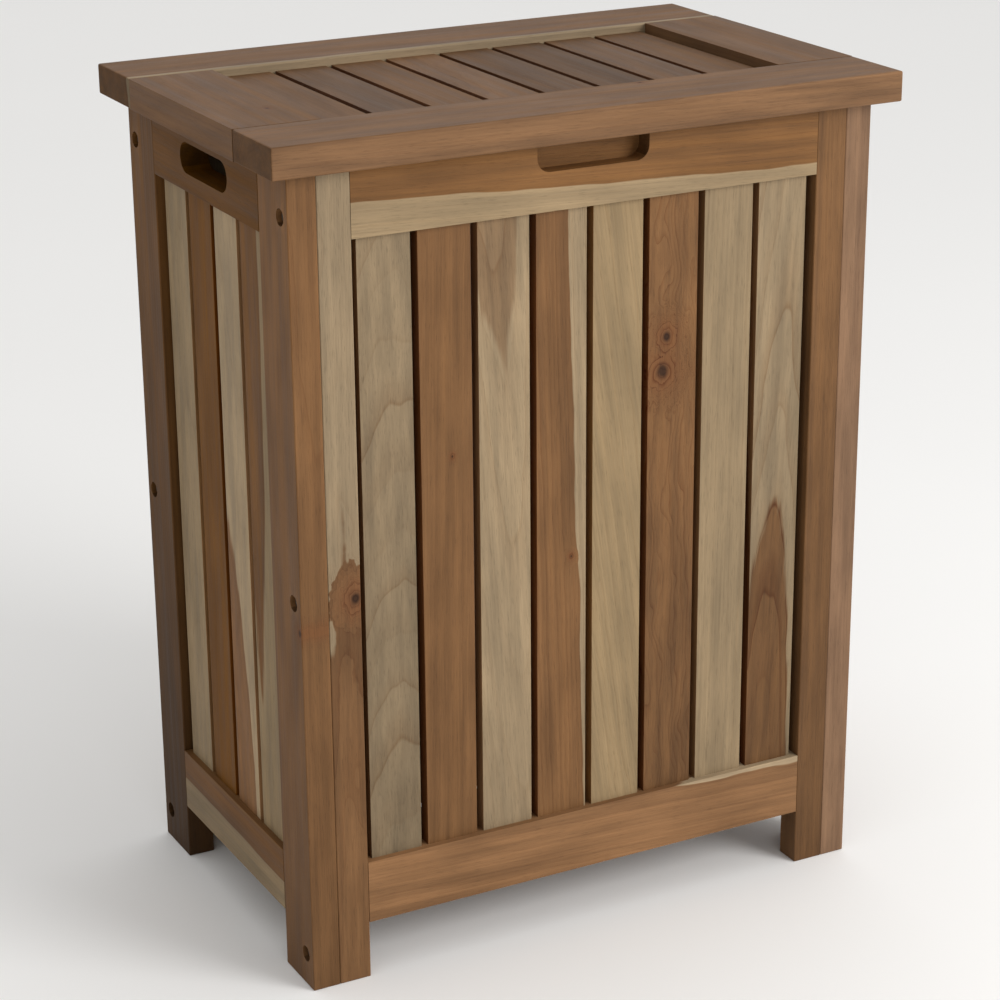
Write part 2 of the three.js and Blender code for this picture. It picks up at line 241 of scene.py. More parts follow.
CUTS = {
    "front_slat_1": Cut((14, 170), (0, 75), ALL_SAP, -0.24, 0, rings=3.6, shift=0.5, wild=0),
    "front_slat_2": Cut((-60, 30), (20, 0), ALL_HEART, -0.06, 0, (Knot(4, 64, 2),), rings=0.5, wild=6),
    "front_slat_3": Cut((4, 49), (-57, -34), 45.2, 0.02, brown=0.5, rings=1.5, shift=0.1, wild=0),
    "front_slat_4": Cut((-60, 20), (-27, 0), 74, -0.04, 0, (Knot(8, -28, 2.2),), rings=1.8, wild=3),
    "front_slat_5": Cut((-60, 30), (-140, 0), ALL_SAP, -0.05, -0.1, rings=1.6, wild=6),
    "front_slat_6": Cut(
        (-34, 22), (0, 60), ALL_HEART, -0.14, 0, (Knot(-8, 100, 11), Knot(-5, 125, 8)), 1, 2.6, 0.5, 18
    ),
    "front_slat_7": Cut((-70, 10), (15, 0), ALL_SAP, -0.1, -0.03, rings=1.3),
    "front_slat_8": Cut((0, 43), (44, 36), 42.7, -0.16, rings=4, shift=0.5, wild=1.5),
    "front_left_stile": Cut((2, 29.4), (0, 30), 31.5, -0.08, 0.02, (Knot(8, -3, 9),), 1, 1.8, 0.0, 4),
    "front_right_stile": Cut((55, 25), (0, 0), ALL_HEART, -0.2, rings=0.7, shift=0.25),
    "front_top_rail": Cut((-60, 15), (40, 0), 69.8, 0.03, -0.05, wild=3),
    "front_bottom_rail": Cut((60, 15), (40, 0), 88, 0.26, 0.04, wild=6),
    "left_front_leg": Cut((-40, 18), (10, 0), ALL_HEART, -0.06, 0, (Knot(21, -22, 4),), shift=0.35),
    "left_back_leg": Cut((48, 30), (-12, 0), ALL_HEART, -0.45, -0.1, shift=0.9),
    "left_top_rail": Cut((-45, 22), (15, 0), ALL_HEART, -0.36, -0.3, wild=8),
    "left_bottom_rail": Cut((-60, 15), (6, 0), 61.8, -0.16, -0.05),
    "left_slat_1": Cut((4, 46), (0, 60), ALL_SAP, 0.0, -0.05),
    "left_slat_2": Cut((-50, 25), (10, 0), ALL_HEART, -0.18, -0.2),
    "left_slat_3": Cut((-20, 50.3), (0, 63), 50, 0.3),
    "left_slat_4": Cut((-11.5, 26.3), (0, -22.5), 30, -0.04, -0.1),
    "right_front_leg": Cut((44, 20), (0, 0), ALL_HEART, 0.1, 0.16),
    "lid_front_rail": Cut((18, 40), (25, 20), ALL_HEART, 0.0, 0.06, (Knot(-27, 62, 2.5),), wild=6),
    "lid_back_rail": Cut((60, 2), (-4, 0), 89, -0.08, 0.02),
    "lid_left_rail": Cut((30, 35), (0, 10), ALL_HEART, -0.14, 0.02, (Knot(14, -46, 3),)),
    "lid_right_rail": Cut((-50, 24), (0, 0), ALL_HEART, -0.16, 0.02),
    "lid_slat_1": Cut((50, 20), (8, 0), ALL_HEART, -0.14, 0.02),
    "lid_slat_2": Cut((20, 30), (-20, 20), ALL_HEART, -0.3, 0.05),
    "lid_slat_3": Cut((-45, 25), (0, 0), ALL_HEART, -0.2, 0.02),
    "lid_slat_4": Cut((10, 38), (30, 30), ALL_HEART, -0.04, 0.05, rings=1.5, wild=8),
    "lid_slat_5": Cut((-60, 20), (0, 0), ALL_HEART, -0.36, 0.0),
    "lid_slat_6": Cut((36, 26), (0, 0), ALL_HEART, -0.42, 0.03),
    "lid_slat_7": Cut((-20, 40), (14, 0), ALL_HEART, -0.22, 0.03),
    "lid_slat_8": Cut((52, 18), (0, 0), ALL_HEART, -0.24, 0.02),
}


def cut_of(name, sapwood):
    """A board's place in its log: as given above, or drawn for its name."""
    if name in CUTS:
        return CUTS[name]
    draw = random.Random(name)
    side = draw.choice((-1, 1))
    pith = (side * draw.uniform(20, 70), draw.uniform(12, 45))
    lean = (draw.uniform(-25, 25), draw.uniform(-25, 25))
    heart = ALL_SAP if sapwood else ALL_HEART
    return Cut(pith, lean, heart, draw.uniform(-0.14, 0.06), draw.uniform(0, 0.08))


SAPWOOD_NODES = {
    *(f"front_slat_{i}" for i in (1, 3, 5, 7)),
    *(f"back_slat_{i}" for i in (2, 4, 6, 8)),
    *(f"{side}_slat_{i}" for side in ("left", "right") for i in (1, 3)),
}


# Materials


def put(tree, kind, feeds=(), **settings):
    """Adds a node with its settings, and feeds its sockets, in order or by name, from values or nodes."""
    made = tree.nodes.new(f"ShaderNode{kind}")
    for key, value in settings.items():
        setattr(made, key, value)
    for key, value in feeds.items() if isinstance(feeds, dict) else enumerate(feeds):
        source = value.outputs[0] if isinstance(value, bpy.types.Node) else value
        if isinstance(source, bpy.types.NodeSocket):
            tree.links.new(source, made.inputs[key])
        else:
            made.inputs[key].default_value = source
    return made


def pattern(tree, place, size, detail):
    """Noise whose features are this many millimetres across the board, into it and along it."""
    place = put(tree, "Mapping", {"Vector": place, "Scale": [1 / reach for reach in size]})
    return put(tree, "TexNoise", {"Vector": place, "Scale": 1, "Detail": detail})


def blend(tree, share, start, end):
    """The colour a share of the way from one colour or socket to another."""
    sockets = {0: share}
    for place, colour in ((6, start), (7, end)):
        sockets[place] = colour if isinstance(colour, bpy.types.NodeSocket) else (*colour, 1)
    return put(tree, "Mix", sockets, data_type="RGBA").outputs[2]


def blank_material(name):
    """A material with nothing in it but its shader and output."""
    material = bpy.data.materials.new(name)
    material.use_nodes = True
    tree = material.node_tree
    tree.nodes.clear()
    shader = put(tree, "BsdfPrincipled")
    put(tree, "OutputMaterial", {"Surface": shader})
    return material, tree, shader


# The teak's patterns, in millimetres across the board, into it and along it. The pores, and the
# fibres between them, are drawn some three times as coarse as they are, so that they show.
SWAYS = (((90, 90, 260), 7), ((16, 16, 80), 2))
SWIRLS = (14, 14, 42)
KNOT_EDGE = (5, 5, 8)
HEART_EDGE = (5, 5, 70)
GRAIN = {
    "cloud": ((17, 17, 80), 2),
    "streak": ((7, 7, 300), 2),
    "fibre": ((1.3, 1.3, 70), 2),
    "pore": ((0.6, 0.6, 10), 1),
}

# How far out from the pith, in millimetres, rings of one width and years of one strength reach
RING_DRIFT = 11
GOOD_YEARS = 6.5


def oiled_teak(scene):
    """Teak, planed, sanded and lightly oiled.

    Growth rings and long streaks run with the grain, fine pores fleck it, heartwood is golden
    brown and sapwood straw, and end grain drinks more oil and is darker. Rounded edges are painted
    a little paler, partly for sanding and partly as a painted highlight, and the slats' narrow
    sides are painted darker and redder as the shade between them. It has the soft sheen of oil and no film.
    """
    timber = scene.hamper_timber
    material, tree, shader = blank_material("oiled_teak")
    log = put(tree, "Attribute", attribute_name="log").outputs["Vector"]
    figure = put(tree, "Attribute", attribute_name="figure").outputs["Vector"]
    figure = put(tree, "SeparateXYZ", [figure]).outputs
    sawn = put(tree, "Attribute", attribute_name="sawn").outputs["Vector"]
    sawn = put(tree, "SeparateXYZ", [sawn]).outputs
    habit = put(tree, "Attribute", attribute_name="habit").outputs["Vector"]
    habit = put(tree, "SeparateXYZ", [habit]).outputs

    # The trunk is neither straight nor round: its middle sways, and more where the grain is wild.
    centre = log
    for size, sway in (*SWAYS, (SWIRLS, habit["Z"])):
        noise = pattern(tree, log, size, 1).outputs["Color"]
        drift = put(tree, "VectorMath", [noise, (0.5, 0.5, 0.5)], operation="SUBTRACT")
        drift = put(tree, "VectorMath", {0: drift, "Scale": sway}, operation="SCALE")
        centre = put(tree, "VectorMath", [centre, drift], operation="ADD")
    flat = put(tree, "VectorMath", [centre, (1, 1, 0)], operation="MULTIPLY")
    radius = put(tree, "VectorMath", [flat], operation="LENGTH").outputs["Value"]

    # The rings swing out round a knot, and wood near it is redder.
    core = 0.0
    halo = 0.0
    for name in KNOT_LAYERS:
        knot = put(tree, "Attribute", attribute_name=name).outputs["Vector"]
        size = put(tree, "SeparateXYZ", [knot]).outputs[2]
        place = put(tree, "VectorMath", [knot, (1, 0.8, 0)], operation="MULTIPLY")
        ragged = put(tree, "MapRange", [pattern(tree, log, KNOT_EDGE, 2), 0, 1, 0.6, 1.4])
        away = put(tree, "VectorMath", [place], operation="LENGTH").outputs["Value"]
        away = put(tree, "Math", [away, ragged], operation="MULTIPLY")
        reach = put(tree, "Math", [size, 0.6, away], operation="MULTIPLY_ADD")
        reach = put(tree, "Math", [reach, 0.001], operation="ADD")
        pull = put(tree, "Math", [size, reach], operation="DIVIDE")
        push = put(tree, "Math", [pull, 2.0], operation="POWER")
        push = put(tree, "Math", [push, size], operation="MULTIPLY")
        radius = put(tree, "Math", [push, 1.1, radius], operation="MULTIPLY_ADD")
        swirl = put(tree, "MapRange", [pull, 0.26, 0.62], interpolation_type="SMOOTHSTEP")
        radius = put(tree, "Mix", {0: swirl.outputs[0], 2: radius, 3: away}).outputs[0]
        inside = put(tree, "MapRange", [pull, 0.75, 1.3], interpolation_type="SMOOTHSTEP")
        near = put(tree, "MapRange", [pull, 0.22, 0.8], interpolation_type="SMOOTHSTEP")
        core = put(tree, "Math", [core, inside], operation="MAXIMUM")
        halo = put(tree, "Math", [halo, near], operation="MAXIMUM")

    # Growth rings: a sharp start, a slow fade, and some years stronger than others.
    slow = put(tree, "Math", [radius, 1 / RING_DRIFT], operation="MULTIPLY")
    wobble = put(tree, "TexNoise", {"W": slow, "Scale": 1, "Detail": 1}, noise_dimensions="1D")
    years = put(tree, "Math", [radius, MM / timber.ring_spacing, wobble], operation="MULTIPLY_ADD")
    phase = put(tree, "Math", [years], operation="FRACT")
    late = put(tree, "MapRange", [phase, 0.0, 0.6, 0.5, 0.0], interpolation_type="SMOOTHSTEP")
    before = put(tree, "MapRange", [phase, 0.96, 1.0])
    after = put(tree, "MapRange", [phase, 0, 0.13, 1.0, 0.0])
    ring = put(tree, "Math", [late, before], operation="MAXIMUM")
    ring = put(tree, "Math", [ring, after], operation="MAXIMUM")
    season = put(tree, "Math", [radius, 1 / GOOD_YEARS], operation="MULTIPLY")
    season = put(tree, "TexNoise", {"W": season, "Scale": 1, "Detail": 0}, noise_dimensions="1D")
    season = put(tree, "MapRange", [season, 0.38, 0.65, 0.2, 1.0])
    ring = put(tree, "Math", [ring, season], operation="MULTIPLY")

    # Streaks, fibres and pores, each long with the grain.
    grain = {name: pattern(tree, log, *look) for name, look in GRAIN.items()}
    pore = put(tree, "MapRange", [grain["pore"], 0.58, 0.72])

    # Heartwood inside its radius, with a ragged edge and a darker band along it.
    ragged = put(tree, "MapRange", [pattern(tree, log, HEART_EDGE, 2), 0, 1, -1.3, 1.3])
    edge = put(tree, "Math", [radius, figure["X"]], operation="SUBTRACT")
    edge = put(tree, "Math", [edge, ragged], operation="ADD")
    heart = put(tree, "MapRange", [edge, -0.5, 0.5, 1.0, 0.0], interpolation_type="SMOOTHSTEP")
    band = put(tree, "MapRange", [edge, -7.0, 0.0], interpolation_type="SMOOTHSTEP")
    band = put(tree, "Math", [band, heart], operation="MULTIPLY")

    mixed = put(tree, "Math", [grain["streak"], grain["cloud"]], operation="ADD")
    light = put(tree, "MapRange", [mixed, 0.76, 1.24])
    brown = blend(tree, light, timber.heart_dark, timber.heart_light)
    straw = blend(tree, light, timber.sap_dark, timber.sap_light)
    strength = put(tree, "Math", [heart, habit["X"]], operation="MULTIPLY")
    wood = blend(tree, strength, straw, brown)
    amber = put(tree, "Math", [halo, 0.55], operation="MULTIPLY")
    redder = [c * f for c, f in zip(timber.heart_dark, (1.25, 0.95, 0.8))]
    wood = blend(tree, amber, wood, redder)
    wood = blend(tree, core, wood, timber.knot)

    # Everything that only darkens or lightens, as factors.
    depth = put(tree, "MapRange", [heart, 0, 1, 0.08, 0.16])
    depth = put(tree, "Math", [depth, habit["Y"]], operation="MULTIPLY")
    depth = put(tree, "Math", [halo, 0.4, depth], operation="MULTIPLY_ADD")
    dark_ring = put(tree, "Math", [ring, depth], operation="MULTIPLY")
    shade = 1.0
    for value, low, high, least, most in (
        (grain["fibre"], 0.3, 0.7, 0.92, 1.08),
        (pore, 0, 1, 1.0, 0.82),
        (band, 0, 1, 1.0, 0.86),
        (figure["Y"], -1, 1, 0.0, 2.0),
        (sawn["X"], 0, 1, 1.0, 0.62),
        # Rounded faces a tenth paler: partly sanded edges, partly a painted highlight along the arrises
        (sawn["Y"], 0, 1, 1.0, 1.1),
    ):
        factor = put(tree, "MapRange", [value, low, high, least, most])
        shade = put(tree, "Math", [shade, factor], operation="MULTIPLY")
    wood = put(tree, "VectorMath", {0: wood, "Scale": shade}, operation="SCALE")
    rings_and_gap_shade = put(tree, "VectorMath", {0: (-0.8, -1.1, -1.35), "Scale": dark_ring}, operation="SCALE")
    # Painted shade: the slats' narrow sides, which face other boards, are painted darker and redder for the
    # shade and the warm bounced light in the gaps between them.
    side = put(tree, "VectorMath", {0: (-0.2, -0.42, -0.58), "Scale": sawn["Z"]}, operation="SCALE")
    rings_and_gap_shade = put(tree, "VectorMath", [rings_and_gap_shade, side], operation="ADD")
    wood = put(tree, "VectorMath", [wood, rings_and_gap_shade, wood], operation="MULTIPLY_ADD")
    vivid = put(tree, "Math", [1.0, figure["Z"]], operation="SUBTRACT")
    wood = put(tree, "HueSaturation", {"Color": wood, "Saturation": vivid})
    tree.links.new(wood.outputs[0], shader.inputs["Base Color"])
    shader.inputs["Specular IOR Level"].default_value = 0.16

    rough = put(tree, "MapRange", [grain["streak"], 0.3, 0.7, 0.52, 0.68])
    rough = put(tree, "Math", [sawn["X"], 0.25, rough], operation="MULTIPLY_ADD")
    tree.links.new(rough.outputs[0], shader.inputs["Roughness"])

    height = put(tree, "Math", [grain["fibre"], ring], operation="SUBTRACT")
    height = put(tree, "Math", [pore, -0.8, height], operation="MULTIPLY_ADD")
    bump = put(tree, "Bump", {"Height": height, "Strength": 0.35, "Distance": 0.00025})
    tree.links.new(bump.outputs[0], shader.inputs["Normal"])
    return material


def satin_brass(scene):
    """Extruded brass, brushed along its length: warm, softly reflective, tarnished in patches."""
    material, tree, shader = blank_material("satin_brass")
    place = put(tree, "TexCoord").outputs["Object"]
    patches = put(tree, "TexNoise", {"Vector": place, "Scale": 90, "Detail": 3})
    base = scene.hamper_fittings.brass
    dull = [c * f for c, f in zip(base, (0.55, 0.5, 0.42))]
    fade = put(tree, "MapRange", [patches, 0.4, 0.68])
    tree.links.new(blend(tree, fade, base, dull), shader.inputs["Base Color"])
    shader.inputs["Metallic"].default_value = 1.0
    # Brush marks a quarter of a millimetre apart and some 17 mm long
    lines = put(tree, "Mapping", {"Vector": place, "Scale": (60, 4000, 4000)})
    lines = put(tree, "TexNoise", {"Vector": lines, "Scale": 1, "Detail": 2})
    rough = put(tree, "MapRange", [lines, 0, 1, 0.28, 0.5])
    tree.links.new(rough.outputs[0], shader.inputs["Roughness"])
    bump = put(tree, "Bump", {"Height": lines, "Strength": 0.15, "Distance": 0.0001})
    tree.links.new(bump.outputs[0], shader.inputs["Normal"])
    return material


def bronzed_steel(scene):
    """Steel bolts with a bronze finish: dark, slightly mottled, worn bright in places."""
    material, tree, shader = blank_material("bronzed_steel")
    place = put(tree, "TexCoord").outputs["Object"]
    wear = put(tree, "TexNoise", {"Vector": place, "Scale": 600, "Detail": 3})
    worn = put(tree, "MapRange", [wear, 0.35, 0.7])
    base = scene.hamper_fittings.bronze
    tree.links.new(blend(tree, worn, [c * 0.55 for c in base], base), shader.inputs["Base Color"])
    shader.inputs["Metallic"].default_value = 1.0
    rough = put(tree, "MapRange", [wear, 0, 1, 0.3, 0.55])
    tree.links.new(rough.outputs[0], shader.inputs["Roughness"])
    bump = put(tree, "Bump", {"Height": wear, "Strength": 0.2, "Distance": 0.00005})
    tree.links.new(bump.outputs[0], shader.inputs["Normal"])
    return material


def matte_floor(scene):
    """A pale floor, rolled with matte paint: even, with the faintest mottling."""
    material, tree, shader = blank_material("matte_painted_floor")
    place = put(tree, "TexCoord").outputs["Object"]
    mottle = put(tree, "TexNoise", {"Vector": place, "Scale": 1.5, "Detail": 3})
    base = scene.hamper_studio.floor
    tree.links.new(blend(tree, mottle, [c * 0.98 for c in base], base), shader.inputs["Base Color"])
    shader.inputs["Roughness"].default_value = 0.9
    shader.inputs["Specular IOR Level"].default_value = 0.2
    return material


def finish_of(maker, scene):
    """The material that a function makes, made once."""
    if maker.__name__ not in FINISHES:
        FINISHES[maker.__name__] = maker(scene)
    return FINISHES[maker.__name__]


FINISHES = {}


# Modelling


class Recess(NamedTuple):
    """A pocket in a board's face, in its millimetres: corners, depth, corner radius and rim rounding."""

    low: tuple
    high: tuple
    depth: float
    corner: float = 0
    rim: float = 0

    def holds(self, point, margin=0.01):
        """Whether a point lies over the pocket or on its outline."""
        across = self.low[0] - margin <= point.x <= self.high[0] + margin
        return across and self.low[1] - margin <= point.y <= self.high[1] + margin

    def spans(self, face):
        """Whether a cell of the board's face lies in the pocket's strip along the grain."""
        return self.low[0] < face.calc_center_median().x < self.high[0]


def board_frame(low, high, along, outward):
    """From a board's own millimetres (x across, y with the grain, face up on z = 0) to its place."""
    across = along.cross(outward)
    face = (low + high) / 2 + outward * abs((high - low).dot(outward)) / 2
    turn = Matrix((across, along, outward)).transposed().to_4x4()
    return Matrix.Translation(face) @ turn @ Matrix.Scale(MM, 4)


def push(bm, faces, distance, keep=False):
    """Extrudes faces by a distance upwards, and gives the faces that moved."""
    made = bmesh.ops.extrude_face_region(bm, geom=faces, use_keep_orig=keep)["geom"]
    moved = [item for item in made if isinstance(item, bmesh.types.BMVert)]
    bmesh.ops.translate(bm, verts=moved, vec=(0, 0, distance))
    return [item for item in made if isinstance(item, bmesh.types.BMFace)]


def round_edges(bm, edges, offset, segments):
    """Rounds edges and gives the new faces."""
    if not edges:
        return []
    made = bmesh.ops.bevel(
        bm,
        geom=edges,
        offset=offset,
        offset_type="OFFSET",
        segments=segments,
        profile=0.5,
        affect="EDGES",
        clamp_overlap=True,
        material=-1,
    )
    return made["faces"]


def board_solid(size, recesses):
    """A board with square edges and its recesses, face up on z = 0.

    The face is cut into cells, along the grain from end to end and across it inside each recess's
    strip, and each cell is pushed to its depth.
    """
    width, length, thick = size
    bm = bmesh.new()
    corners = ((-1, -1), (1, -1), (1, 1), (-1, 1))
    bm.faces.new([bm.verts.new((x * width / 2, y * length / 2, 0)) for x, y in corners])
    for recess in recesses:
        for axis in (0, 1):
            for reach in (recess.low[axis], recess.high[axis]):
                normal = Vector((axis == 0, axis == 1, 0))
                cells = [face for face in bm.faces if axis == 0 or recess.spans(face)]
                verts = dict.fromkeys(vert for face in cells for vert in face.verts)
                edges = dict.fromkeys(edge for face in cells for edge in face.edges)
                geom = [*verts, *edges, *cells]
                bmesh.ops.bisect_plane(bm, geom=geom, dist=1e-4, plane_co=normal * reach, plane_no=normal)

    def depth_at(face):
        middle = face.calc_center_median()
        return max((recess.depth for recess in recesses if recess.holds(middle, 0)), default=0)

    holes = [face for face in bm.faces if depth_at(face) >= thick]
    bmesh.ops.delete(bm, geom=holes, context="FACES")
    levels = sorted({depth_at(face) for face in bm.faces}, reverse=True)
    bmesh.ops.translate(bm, verts=bm.verts, vec=(0, 0, -levels[0]))
    faces = list(bm.faces)
    push(bm, faces, levels[0] - thick, keep=True)
    for level, nearer in zip(levels, levels[1:]):
        faces = [face for face in faces if depth_at(face) <= nearer]
        faces = push(bm, faces, level - nearer)
    bmesh.ops.recalc_face_normals(bm, faces=bm.faces)
    return bm


def is_corner_post(edge, recess):
    """Whether an edge is an upright corner of a recess."""
    a, b = edge.verts[0].co, edge.verts[1].co
    upright = abs(a.x - b.x) < CLOSE and abs(a.y - b.y) < CLOSE
    at_x = any(abs(a.x - x) < CLOSE for x in (recess.low[0], recess.high[0]))
    return upright and at_x and any(abs(a.y - y) < CLOSE for y in (recess.low[1], recess.high[1]))


def lies_on(edge, axis, reach):
    """Whether both ends of an edge are this far out along an axis, to either side."""
    return all(abs(abs(vert.co[axis]) - reach) < CLOSE for vert in edge.verts)


def outward_edges(bm):
    """The sharp edges that stand out."""
    return [
        edge
        for edge in bm.edges
        if len(edge.link_faces) == 2 and edge.calc_face_angle(0) > SHARP and edge.is_convex
    ]


def shape_board(size, recesses, arris, end_easing):
    """A finished board in its own millimetres, with its rounded faces smooth and its flat ones flat."""
    side = size[0] / 2
    end = size[1] / 2
    bm = board_solid(size, recesses)
    rounded = []
    for recess in recesses:
        if recess.corner:
            posts = [edge for edge in bm.edges if is_corner_post(edge, recess)]
            rounded += round_edges(bm, posts, recess.corner, 8)
    for recess in recesses:
        if recess.rim:
            rim = [
                edge
                for edge in outward_edges(bm)
                if not lies_on(edge, 0, side) and all(recess.holds(vert.co) for vert in edge.verts)
            ]
            rounded += round_edges(bm, rim, recess.rim, 3)
    crisp = [recess for recess in recesses if not recess.rim]
    long_edges = [
        edge
        for edge in outward_edges(bm)
        if lies_on(edge, 0, side)
        and not lies_on(edge, 1, end)
        and not any(recess.holds((edge.verts[0].co + edge.verts[1].co) / 2) for recess in crisp)
    ]
    rounded += round_edges(bm, long_edges, arris, 3)
    end_edges = [edge for edge in outward_edges(bm) if lies_on(edge, 1, end)]
    rounded += round_edges(bm, end_edges, end_easing, 2)
    for face in rounded:
        if face.is_valid:
            face.smooth = True
    for edge in bm.edges:
        edge.smooth = edge.calc_face_angle(0) < SHARP
    return bm


def mark_grain(bm, cut, seed):
    """Writes on each vertex where it was in the log, and on each face how it was sawn and where light or
    shade is painted.
    """
    offset = random.Random(seed).uniform(0, 5000)
    places = bm.verts.layers.float_vector.new("log")
    figures = bm.verts.layers.float_vector.new("figure")
    knots = [bm.verts.layers.float_vector.new(name) for name in KNOT_LAYERS[: len(cut.knots)]]
    sawn = bm.faces.layers.float_vector.new("sawn")
    habit = bm.faces.layers.float_vector.new("habit")
    for vert in bm.verts:
        x, y, z = vert.co
        across = cut.pith[0] + cut.lean[0] * y * MM
        behind = cut.pith[1] + cut.lean[1] * y * MM
        vert[places] = Vector((x - across, behind + z, y + offset))
        vert[figures] = Vector((cut.heart, cut.tone + cut.shift * y * MM, cut.grey))
        for layer, knot in zip(knots, cut.knots):
            vert[layer] = Vector((x - knot.across, y - knot.along, knot.radius))
    for face in bm.faces:
        end_grain = 1.0 if abs(face.normal.y) > 0.7 else 0.0
        # The slats' narrow sides get painted shade, darker and redder, for the gaps between slats
        gap_shade_mask = 1.0 if "slat" in seed and abs(face.normal.x) > 0.7 else 0.0
        # X marks end grain, Y rounded faces (painted paler: sanding and a painted highlight), Z the painted
        # gap shade
        face[sawn] = Vector((end_grain, 1.0 if face.smooth else 0.0, gap_shade_mask))
        face[habit] = Vector((cut.brown, cut.rings, cut.wild))


def place_piece(name, bm, body, finish):
    """Makes an object of a finished mesh, which then moves with its body."""
    mesh = bpy.data.meshes.new(name)
    bm.to_mesh(mesh)
    bm.free()
    mesh.materials.append(finish)
    piece = bpy.data.objects.new(name, mesh)
    bpy.context.scene.collection.objects.link(piece)
    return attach(piece, body)


def add_board(scene, node, corners, along, outward, recesses=(), arris=None, ends=None, name=None):
    """One board between two corners, in place of a CAD node."""
    timber = scene.hamper_timber
    name = name or node
    low, high = corners
    across = along.cross(outward)
    size = [abs((high - low).dot(axis)) / MM for axis in (across, along, outward)]
    bm = shape_board(size, recesses, (arris or timber.arris) / MM, (ends or timber.joint_line) / MM)
    sapwood = node in SAPWOOD_NODES
    mark_grain(bm, cut_of(name, sapwood), name)
    bmesh.ops.transform(bm, matrix=board_frame(low, high, along, outward), verts=bm.verts)
    body = "lid" if node.startswith("lid") else "hamper"
    piece = place_piece(f"{name}_teak", bm, body, finish_of(oiled_teak, scene))
    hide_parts(node)
    return piece


def between(node, axis, before, after, let_in=0.0):
    """A CAD node's box, from the face of one neighbour to the face of the next."""
    low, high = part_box(node)
    low[axis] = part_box(before)[1][axis] - let_in
    high[axis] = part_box(after)[0][axis] + let_in
    return low, high


def hinge_middle(side):
    """The middle of a hinge's pin."""
    low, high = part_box(f"{side}_hinge_pin")
    return (low + high) / 2


def leaf_housing(local, side, leaf):
    """The pocket that a hinge leaf lies in, up to the line of the pin."""
    low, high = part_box(f"{side}_hinge_{leaf}_leaf")
    inner = local @ low
    outer = local @ Vector((high.x, hinge_middle(side).y, high.z))
    x = sorted((inner.x, outer.x))
    y = sorted((inner.y, outer.y))
    return Recess((x[0] - FIT, y[0] - FIT), (x[1], y[1] + FIT), LEAF_OFFSET + LEAF_THICKNESS + FIT)


def knuckle_housing(local, side):
    """The deeper pocket over the knuckles and the pin's heads."""
    low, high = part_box(f"{side}_hinge_pin")
    barrel = Vector((0, KNUCKLE_RADIUS * MM, 0))
    middle = hinge_middle(side)
    a = local @ (Vector((low.x, middle.y, middle.z)) - barrel)
    b = local @ (Vector((high.x, middle.y, middle.z)) + barrel)
    x = sorted((a.x, b.x))
    y = sorted((a.y, b.y))
    clear = 2 * FIT
    return Recess((x[0] - clear, y[0] - clear), (x[1] + clear, y[1] + clear), KNUCKLE_RADIUS + clear)


def turned(profile, steps=40, closed=False):
    """A turned shape about X, in millimetres, from (x, radius) points."""
    bm = bmesh.new()
    verts = [bm.verts.new((x, 0, radius)) for x, radius in profile]
    pairs = list(zip(verts, verts[1:]))
    if closed:
        pairs.append((verts[-1], verts[0]))
    for pair in pairs:
        bm.edges.new(pair)
    outline = [*bm.verts, *bm.edges]
    bmesh.ops.spin(
        bm, geom=outline, cent=(0, 0, 0), axis=(1, 0, 0), angle=2 * math.pi, steps=steps, use_merge=True
    )
    bmesh.ops.remove_doubles(bm, verts=bm.verts, dist=1e-4)
    bmesh.ops.recalc_face_normals(bm, faces=bm.faces)
    for face in bm.faces:
        face.smooth = True
    for edge in bm.edges:
        edge.smooth = edge.calc_face_angle(0) < SHARP
    return bm


def knuckle_outline(length):
    """The section of one knuckle, a tube with eased ends: its corners as (x, radius), in order."""
    half = length / 2
    neck = KNUCKLE_RADIUS - KNUCKLE_EASING
    right = [(half - KNUCKLE_EASING, KNUCKLE_RADIUS), (half, neck), (half, PIN_BORE_RADIUS)]
    return [(-x, radius) for x, radius in reversed(right)] + right


def join_into(bm, other):
    """Adds a shape to another and frees it."""
    mesh = bpy.data.meshes.new("passing")
    other.to_mesh(mesh)
    other.free()
    bm.from_mesh(mesh)
    bpy.data.meshes.remove(mesh)


# Pieces

# The panels: name, the way they face, their uprights from left to right as seen from outside, slats
PANELS = (
    ("front", Vector((0, -1, 0)), "front_left_stile", "front_right_stile", 8),
    ("back", Vector((0, 1, 0)), "back_right_stile", "back_left_stile", 8),
    ("left", Vector((-1, 0, 0)), "left_back_leg", "left_front_leg", 4),
    ("right", Vector((1, 0, 0)), "right_front_leg", "right_back_leg", 4),
)


def bolt_places(fittings):
    """For each leg, where its bolts' counterbores open."""
    places = {}
    for side in ("left", "right"):
        for end in ("front", "back"):
            leg = f"{side}_{end}_leg"
            low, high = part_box(leg)
            x = low.x if side == "left" else high.x
            y = low.y + fittings.bolt_inset if end == "front" else high.y - fittings.bolt_inset
            rail_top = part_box(f"{side}_top_rail")[1].z
            heights = (fittings.bolt_low, fittings.bolt_middle, rail_top - fittings.bolt_below_top)
            places[leg] = [Vector((x, y, z)) for z in heights]
    return places


class HAMPER_OT_uprights(bpy.types.Operator):
    """Makes the four legs and the four stiles, with counterbores for the bolts"""

    bl_idname = "hamper.uprights"
    bl_label = "Uprights"

    def execute(self, context):
        scene = context.scene
        fittings = scene.hamper_fittings
        places = bolt_places(fittings)
        radius = fittings.bore_radius / MM
        depth = fittings.bore_depth / MM
        for _, outward, left, right, _ in PANELS:
            for node in (left, right):
                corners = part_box(node)
                local = board_frame(*corners, UP, outward).inverted()
                bores = []
                for place in places.get(node, ()):
                    x, y, _ = local @ place
                    low, high = (x - radius, y - radius), (x + radius, y + radius)
                    bores.append(Recess(low, high, depth, corner=radius - BARELY))
                add_board(scene, node, corners, UP, outward, bores, ends=scene.hamper_timber.foot_easing)
        return {"FINISHED"}


